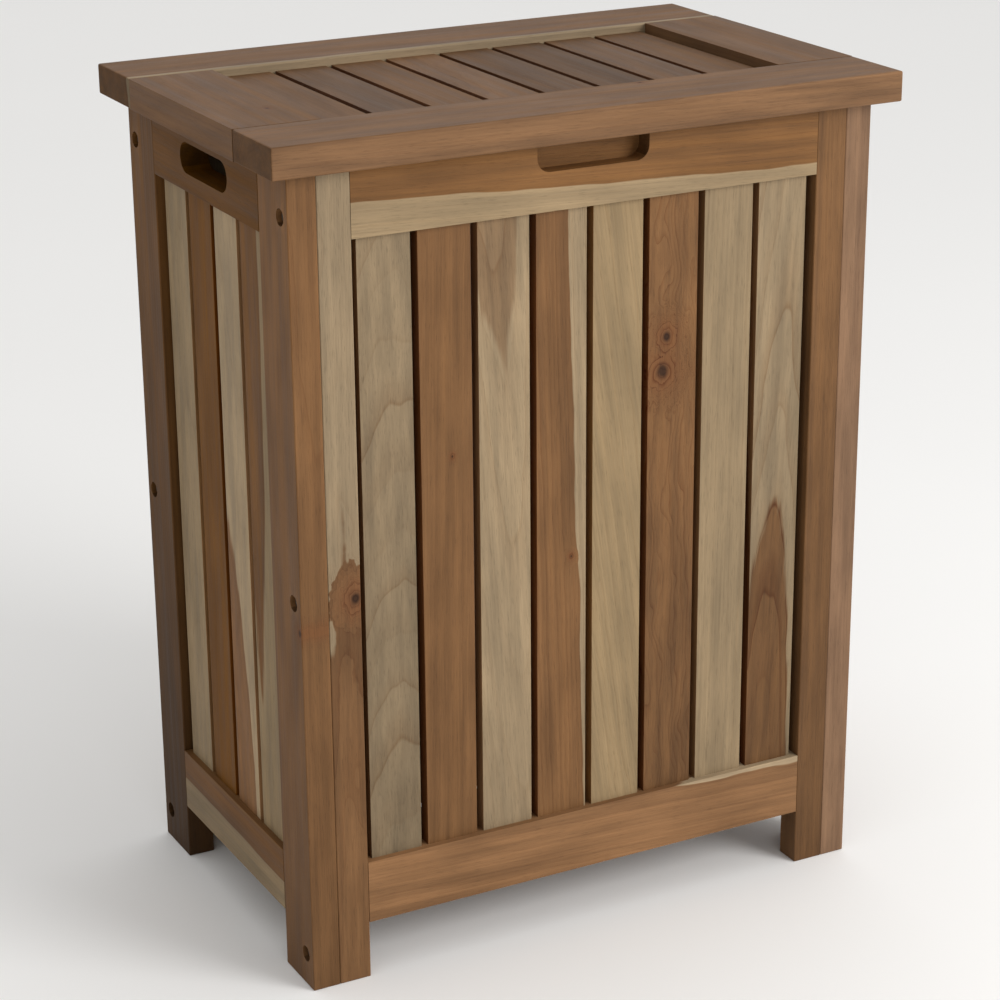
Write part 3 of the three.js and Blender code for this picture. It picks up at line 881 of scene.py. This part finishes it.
class HAMPER_OT_rails(bpy.types.Operator):
    """Makes the eight panel rails, with the hand holes, the finger notch and the hinge housings"""

    bl_idname = "hamper.rails"
    bl_label = "Rails"

    def execute(self, context):
        scene = context.scene
        for name, outward, left, right, _ in PANELS:
            along = UP.cross(outward)
            axis = 0 if abs(along.x) > 0.5 else 1
            before, after = (left, right) if along[axis] > 0 else (right, left)
            top = f"{name}_top_rail"
            bottom = f"{name}_bottom_rail"
            add_board(scene, bottom, between(bottom, axis, before, after), along, outward)
            corners = between(top, axis, before, after)
            if name == "back":
                # Its top edge is made as the face, because the leaves are let into it.
                local = board_frame(*corners, along, UP).inverted()
                housings = [leaf_housing(local, side, "body") for side in ("left", "right")]
                add_board(scene, top, corners, along, UP, housings)
            else:
                cut_out = self.notch(scene, corners) if name == "front" else self.hand_hole(scene, corners)
                add_board(scene, top, corners, along, outward, [cut_out])
        return {"FINISHED"}

    @staticmethod
    def notch(scene, corners):
        """The finger notch: blind, and open at the rail's top edge."""
        fittings = scene.hamper_fittings
        top = -(corners[1].z - corners[0].z) / MM / 2
        half = fittings.notch_width / MM / 2
        high = (top + fittings.notch_height / MM, half)
        corner = fittings.notch_corner / MM
        return Recess((top - 1, -half), high, fittings.notch_depth / MM, corner, fittings.notch_rim / MM)

    @staticmethod
    def hand_hole(scene, corners):
        """The hand hole: a slot with round ends, right through."""
        fittings = scene.hamper_fittings
        half_x = fittings.hand_hole_height / MM / 2
        half_y = fittings.hand_hole_width / MM / 2
        through = (corners[1] - corners[0]).length / MM
        rim = fittings.hand_hole_rim / MM
        return Recess((-half_x, -half_y), (half_x, half_y), through, half_x - BARELY, rim)


class HAMPER_OT_slats(bpy.types.Operator):
    """Makes the upright slats of the four panels"""

    bl_idname = "hamper.slats"
    bl_label = "Panel slats"

    def execute(self, context):
        scene = context.scene
        for name, outward, _, _, count in PANELS:
            for number in range(1, count + 1):
                node = f"{name}_slat_{number}"
                corners = between(node, 2, f"{name}_bottom_rail", f"{name}_top_rail", LET_IN)
                add_board(scene, node, corners, UP, outward)
        return {"FINISHED"}


class HAMPER_OT_slatted_floor(bpy.types.Operator):
    """Makes the floor: eight slats from front to back on two cleats between the side panels"""

    bl_idname = "hamper.slatted_floor"
    bl_label = "Slatted floor"

    def execute(self, context):
        scene = context.scene
        node = "slatted_floor"
        low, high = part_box(node)
        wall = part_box("right_bottom_rail")[0].x
        slat_low, slat_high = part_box("front_slat_1")
        width = slat_high.x - slat_low.x
        thick = slat_high.y - slat_low.y
        count = 8
        gap = (2 * wall - count * width) / (count + 1)
        for number in range(1, count + 1):
            x = -wall + gap * number + width * (number - 1)
            corners = Vector((x, low.y, high.z - thick)), Vector((x + width, high.y, high.z))
            ends = scene.hamper_timber.foot_easing
            add_board(scene, node, corners, BACK, UP, ends=ends, name=f"floor_slat_{number}")
        half = scene.hamper_fittings.cleat_width / 2
        for end, side in (("front", -1), ("back", 1)):
            y = side * scene.hamper_fittings.cleat_from_middle
            corners = Vector((-wall, y - half, low.z)), Vector((wall, y + half, high.z - thick))
            add_board(scene, node, corners, RIGHT, UP, name=f"floor_{end}_cleat")
        return {"FINISHED"}


class HAMPER_OT_lid_frame(bpy.types.Operator):
    """Makes the lid's four frame boards, and houses the hinges in the back one"""

    bl_idname = "hamper.lid_frame"
    bl_label = "Lid frame"

    def execute(self, context):
        scene = context.scene
        timber = scene.hamper_timber
        front = "lid_front_rail"
        back = "lid_back_rail"
        look = {"arris": timber.lid_arris, "ends": timber.lid_end_easing}
        add_board(scene, front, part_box(front), RIGHT, UP, **look)
        # Its underside is made as the face, because the hinges are let into it.
        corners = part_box(back)
        local = board_frame(*corners, RIGHT, -UP).inverted()
        housings = [leaf_housing(local, side, "lid") for side in ("left", "right")]
        housings += [knuckle_housing(local, side) for side in ("left", "right")]
        add_board(scene, back, corners, RIGHT, -UP, housings, **look)
        for side in ("left", "right"):
            node = f"lid_{side}_rail"
            corners = between(node, 1, front, back)
            add_board(scene, node, corners, BACK, UP, arris=timber.lid_arris)
        return {"FINISHED"}


class HAMPER_OT_lid_slats(bpy.types.Operator):
    """Makes the lid's eight slats"""

    bl_idname = "hamper.lid_slats"
    bl_label = "Lid slats"

    def execute(self, context):
        for number in range(1, 9):
            node = f"lid_slat_{number}"
            corners = between(node, 1, "lid_front_rail", "lid_back_rail", LET_IN)
            add_board(context.scene, node, corners, BACK, UP)
        return {"FINISHED"}


class HAMPER_OT_hinges(bpy.types.Operator):
    """Makes both brass butt hinges: two leaves, a pin, and three screws in each leaf"""

    bl_idname = "hamper.hinges"
    bl_label = "Hinges"

    def execute(self, context):
        scene = context.scene
        brass = finish_of(satin_brass, scene)
        for side in ("left", "right"):
            middle = hinge_middle(side)
            to_place = Matrix.Translation(middle) @ Matrix.Scale(MM, 4)
            low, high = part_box(f"{side}_hinge_body_leaf")
            length = (high.x - low.x) / MM
            inner = (low.y - middle.y) / MM
            pieces = [(f"{side}_hinge_pin", self.pin(length), "hamper")]
            knuckle = (length - 2 * KNUCKLE_GAP) / 3
            step = knuckle + KNUCKLE_GAP
            for leaf, sign, knuckles in (("body", -1, (-step, step)), ("lid", 1, (0,))):
                node = f"{side}_hinge_{leaf}_leaf"
                body = "hamper" if leaf == "body" else "lid"
                head = scene.hamper_fittings.screw_head_radius / MM
                places = [(x * length, inner * share) for x, share in SCREW_PLACES]
                plate = self.plate(length, inner, sign, places, head + SCREW_CLEARANCE)
                pieces.append((node, self.leaf(plate, sign, knuckle, knuckles), body))
                for number, (x, y) in enumerate(places, 1):
                    screw = self.screw(head)
                    turn = Matrix.Rotation(math.radians(SCREW_TURNS[number - 1] + 50 * sign), 4, "Z")
                    flip = Matrix.Rotation(math.pi if sign > 0 else 0, 4, "X")
                    spot = Matrix.Translation((x, y, sign * (LEAF_OFFSET - SCREW_PROUD)))
                    bmesh.ops.transform(screw, matrix=spot @ flip @ turn, verts=screw.verts)
                    pieces.append((f"{node}_screw_{number}", screw, body))
            for name, bm, body in pieces:
                bmesh.ops.transform(bm, matrix=to_place, verts=bm.verts)
                is_screw = "screw" in name
                piece = place_piece(name if is_screw else f"{name}_brass", bm, body, brass)
                if not is_screw:
                    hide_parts(name)
        return {"FINISHED"}

    @staticmethod
    def pin(length):
        """The pin, with a domed head outside each end knuckle."""
        reach = length / 2 + FIT
        half = [
            (reach + PIN_HEAD, 0),
            (reach + PIN_HEAD * 0.9, PIN_HEAD_RADIUS * 0.55),
            (reach + PIN_HEAD * 0.6, PIN_HEAD_RADIUS * 0.85),
            (reach + PIN_HEAD * 0.3, PIN_HEAD_RADIUS),
            (reach, PIN_HEAD_RADIUS),
            (reach, PIN_RADIUS),
        ]
        return turned(half + [(-x, radius) for x, radius in reversed(half)])

    @staticmethod
    def plate(length, inner, sign, places, radius):
        """A leaf's plate beside the pin, above it (sign 1) or below (-1), with pockets for its screws."""
        outer = -KNUCKLE_RADIUS - FIT
        middle = (outer + inner) / 2
        pockets = []
        for x, y in places:
            y = -sign * (y - middle)
            low, high = (x - radius, y - radius), (x + radius, y + radius)
            pockets.append(Recess(low, high, SCREW_POCKET, radius - BARELY))
        bm = board_solid((length, outer - inner, LEAF_THICKNESS), pockets)
        rounded = []
        for pocket in pockets:
            posts = [edge for edge in bm.edges if is_corner_post(edge, pocket)]
            rounded += round_edges(bm, posts, pocket.corner, 8)
        flip = Matrix.Rotation(math.pi if sign > 0 else 0, 4, "X")
        place = Matrix.Translation((0, middle, sign * LEAF_OFFSET)) @ flip
        bmesh.ops.transform(bm, matrix=place, verts=bm.verts)
        corners = [
            edge
            for edge in bm.edges
            if all(vert.co.y < inner + CLOSE for vert in edge.verts)
            and abs(edge.verts[0].co.x - edge.verts[1].co.x) < CLOSE
        ]
        rounded += round_edges(bm, corners, LEAF_CORNER, 5)
        rounded += round_edges(bm, outward_edges(bm), LEAF_EASING, 2)
        for face in rounded:
            if face.is_valid:
                face.smooth = True
        return bm

    @staticmethod
    def leaf(bm, sign, knuckle, knuckles):
        """A whole leaf: its plate and its knuckles, joined by tabs."""
        middle_z = sign * (LEAF_OFFSET + LEAF_THICKNESS / 2)
        start = -KNUCKLE_RADIUS - FIT - TAB_OVERLAP
        for at in knuckles:
            barrel = turned(knuckle_outline(knuckle), closed=True)
            bmesh.ops.translate(barrel, vec=(at, 0, 0), verts=barrel.verts)
            join_into(bm, barrel)
            tab = bmesh.new()
            bmesh.ops.create_cube(tab, size=1)
            reach = -PIN_BORE_RADIUS - FIT - start
            size = (knuckle - 2 * TAB_EASING, reach, LEAF_THICKNESS - TAB_EASING / 2)
            bmesh.ops.scale(tab, vec=size, verts=tab.verts)
            bmesh.ops.translate(tab, vec=(at, start + reach / 2, middle_z), verts=tab.verts)
            join_into(bm, tab)
        return bm

    @staticmethod
    def screw(radius):
        """A countersunk head with one slot, its top on z = 0 and just proud of the leaf."""
        bm = bmesh.new()
        bmesh.ops.create_circle(bm, cap_ends=True, radius=radius, segments=40)
        for edge in (-SLOT_WIDTH / 2, SLOT_WIDTH / 2):
            everything = [*bm.verts, *bm.edges, *bm.faces]
            bmesh.ops.bisect_plane(bm, geom=everything, dist=1e-5, plane_co=(0, edge, 0), plane_no=(0, 1, 0))
        bmesh.ops.translate(bm, vec=(0, 0, -SLOT_DEPTH), verts=bm.verts)
        faces = list(bm.faces)
        push(bm, faces, SLOT_DEPTH - SCREW_HEAD, keep=True)
        lobes = [face for face in faces if abs(face.calc_center_median().y) > SLOT_WIDTH / 2]
        push(bm, lobes, SLOT_DEPTH)
        bmesh.ops.recalc_face_normals(bm, faces=bm.faces)
        rim = [edge for edge in outward_edges(bm) if all(abs(vert.co.z) < CLOSE for vert in edge.verts)]
        for face in round_edges(bm, rim, SCREW_EASING, 2):
            face.smooth = True
        return bm


class HAMPER_OT_bolts(bpy.types.Operator):
    """Makes the twelve connector bolts, sunk in the legs, each with a hexagonal socket"""

    bl_idname = "hamper.bolts"
    bl_label = "Bolts"

    def execute(self, context):
        scene = context.scene
        fittings = scene.hamper_fittings
        steel = finish_of(bronzed_steel, scene)
        radius = fittings.bolt_head_radius / MM
        for leg, places in bolt_places(fittings).items():
            outward = -1 if leg.startswith("left") else 1
            for number, place in enumerate(places, 1):
                bm = self.head(radius)
                turn = Matrix.Rotation(0 if outward > 0 else math.pi, 4, "Z")
                spin = Matrix.Rotation(BOLT_TURN * number, 4, "X")
                floor = place - Vector((outward * fittings.bore_depth, 0, 0))
                matrix = Matrix.Translation(floor) @ turn @ spin @ Matrix.Scale(MM, 4)
                bmesh.ops.transform(bm, matrix=matrix, verts=bm.verts)
                place_piece(f"{leg}_bolt_{number}", bm, "hamper", steel)
        return {"FINISHED"}

    @staticmethod
    def head(radius):
        """A low domed head standing on x = 0, with a hexagonal socket in its top."""
        bm = turned(
            [
                (0, 0),
                (0, radius),
                (BOLT_HEAD * 0.45, radius),
                (BOLT_HEAD * 0.8, radius * 0.93),
                (BOLT_HEAD, radius * 0.78),
                (BOLT_HEAD, SOCKET_RADIUS * 1.12),
                (BOLT_HEAD - 0.15, SOCKET_RADIUS),
                (BOLT_HEAD - SOCKET_DEPTH, SOCKET_RADIUS),
                (BOLT_HEAD - SOCKET_DEPTH, 0),
            ],
            steps=48,
        )
        sixth = math.pi / 3
        for vert in bm.verts:
            reach = math.hypot(vert.co.y, vert.co.z)
            if CLOSE < reach < SOCKET_RADIUS + CLOSE:
                turn = math.atan2(vert.co.z, vert.co.y)
                off = (turn % sixth) - sixth / 2
                flat = SOCKET_RADIUS * math.cos(sixth / 2) / math.cos(off)
                vert.co.y *= flat / reach
                vert.co.z *= flat / reach
        return bm


class HAMPER_OT_studio(bpy.types.Operator):
    """Makes the floor, the soft lights and the camera"""

    bl_idname = "hamper.studio"
    bl_label = "Studio"

    def execute(self, context):
        scene = context.scene
        studio = scene.hamper_studio
        bm = bmesh.new()
        bmesh.ops.create_grid(bm, x_segments=1, y_segments=1, size=60)
        mesh = bpy.data.meshes.new("studio_floor")
        bm.to_mesh(mesh)
        bm.free()
        mesh.materials.append(finish_of(matte_floor, scene))
        floor = bpy.data.objects.new("studio_floor", mesh)
        floor.location.z = CAD_BOX[0].z
        scene.collection.objects.link(floor)

        self.white_room(scene, studio)
        middle = (CAD_BOX[0] + CAD_BOX[1]) / 2
        light = bpy.data.lights.new("key", "AREA")
        light.shape = "DISK"
        light.size = studio.key_size
        light.energy = studio.key_power
        key = bpy.data.objects.new("key", light)
        key.location = middle + Vector(studio.key_offset)
        key.rotation_euler = (middle - key.location).to_track_quat("-Z", "Y").to_euler()
        scene.collection.objects.link(key)

        lens = bpy.data.cameras.new("camera")
        lens.lens = studio.lens
        lens.sensor_width = 36
        camera = bpy.data.objects.new("camera", lens)
        level = math.pi / 2 - studio.elevation
        turn = Matrix.Rotation(-studio.azimuth, 4, "Z") @ Matrix.Rotation(level, 4, "X")
        turn = turn @ Matrix.Rotation(studio.roll, 4, "Z")
        camera.matrix_world = Matrix.Translation(studio.camera_place) @ turn
        scene.collection.objects.link(camera)
        scene.camera = camera
        scene.view_settings.view_transform = "Standard"
        return {"FINISHED"}

    @staticmethod
    def white_room(scene, studio):
        """A white room whose walls are brighter than its ceiling."""
        world = bpy.data.worlds.new("white_room")
        world.use_nodes = True
        tree = world.node_tree
        tree.nodes.clear()
        way = put(tree, "TexCoord").outputs["Generated"]
        height = put(tree, "SeparateXYZ", [way]).outputs["Z"]
        glow = put(tree, "MapRange", [height, 0, 1, studio.sky, studio.zenith])
        left = put(tree, "SeparateXYZ", [way]).outputs["X"]
        dim = put(tree, "MapRange", [left, -1, 0, studio.left_wall, 1], interpolation_type="SMOOTHSTEP")
        glow = put(tree, "Math", [glow, dim], operation="MULTIPLY")
        sky = put(tree, "Background", {"Color": (1, 1, 1, 1), "Strength": glow})
        put(tree, "OutputWorld", {"Surface": sky})
        scene.world = world


STEPS = (
    HAMPER_OT_uprights,
    HAMPER_OT_rails,
    HAMPER_OT_slats,
    HAMPER_OT_slatted_floor,
    HAMPER_OT_lid_frame,
    HAMPER_OT_lid_slats,
    HAMPER_OT_hinges,
    HAMPER_OT_bolts,
    HAMPER_OT_studio,
)


class HAMPER_PT_build(bpy.types.Panel):
    """Lists the hamper's pieces and their sizes"""

    bl_idname = "HAMPER_PT_build"
    bl_label = "Teak hamper"
    bl_space_type = "VIEW_3D"
    bl_region_type = "UI"
    bl_category = "Hamper"

    def draw(self, context):
        layout = self.layout
        for step in STEPS:
            layout.operator(step.bl_idname)
        for name, group in SETTINGS.items():
            box = layout.box()
            for key in group.__annotations__:
                box.prop(getattr(context.scene, name), key)


SETTINGS = {"hamper_timber": HamperTimber, "hamper_fittings": HamperFittings, "hamper_studio": HamperStudio}


def register():
    for group in (*SETTINGS.values(), *STEPS, HAMPER_PT_build):
        bpy.utils.register_class(group)
    for name, group in SETTINGS.items():
        setattr(bpy.types.Scene, name, PointerProperty(type=group))


def unregister():
    for name in SETTINGS:
        delattr(bpy.types.Scene, name)
    for group in (HAMPER_PT_build, *reversed(STEPS), *SETTINGS.values()):
        bpy.utils.unregister_class(group)


def main():
    register()
    bpy.ops.hamper.uprights()
    bpy.ops.hamper.rails()
    bpy.ops.hamper.slats()
    bpy.ops.hamper.slatted_floor()
    bpy.ops.hamper.lid_frame()
    bpy.ops.hamper.lid_slats()
    bpy.ops.hamper.hinges()
    bpy.ops.hamper.bolts()
    bpy.ops.hamper.studio()


if __name__ == "__main__":
    main()
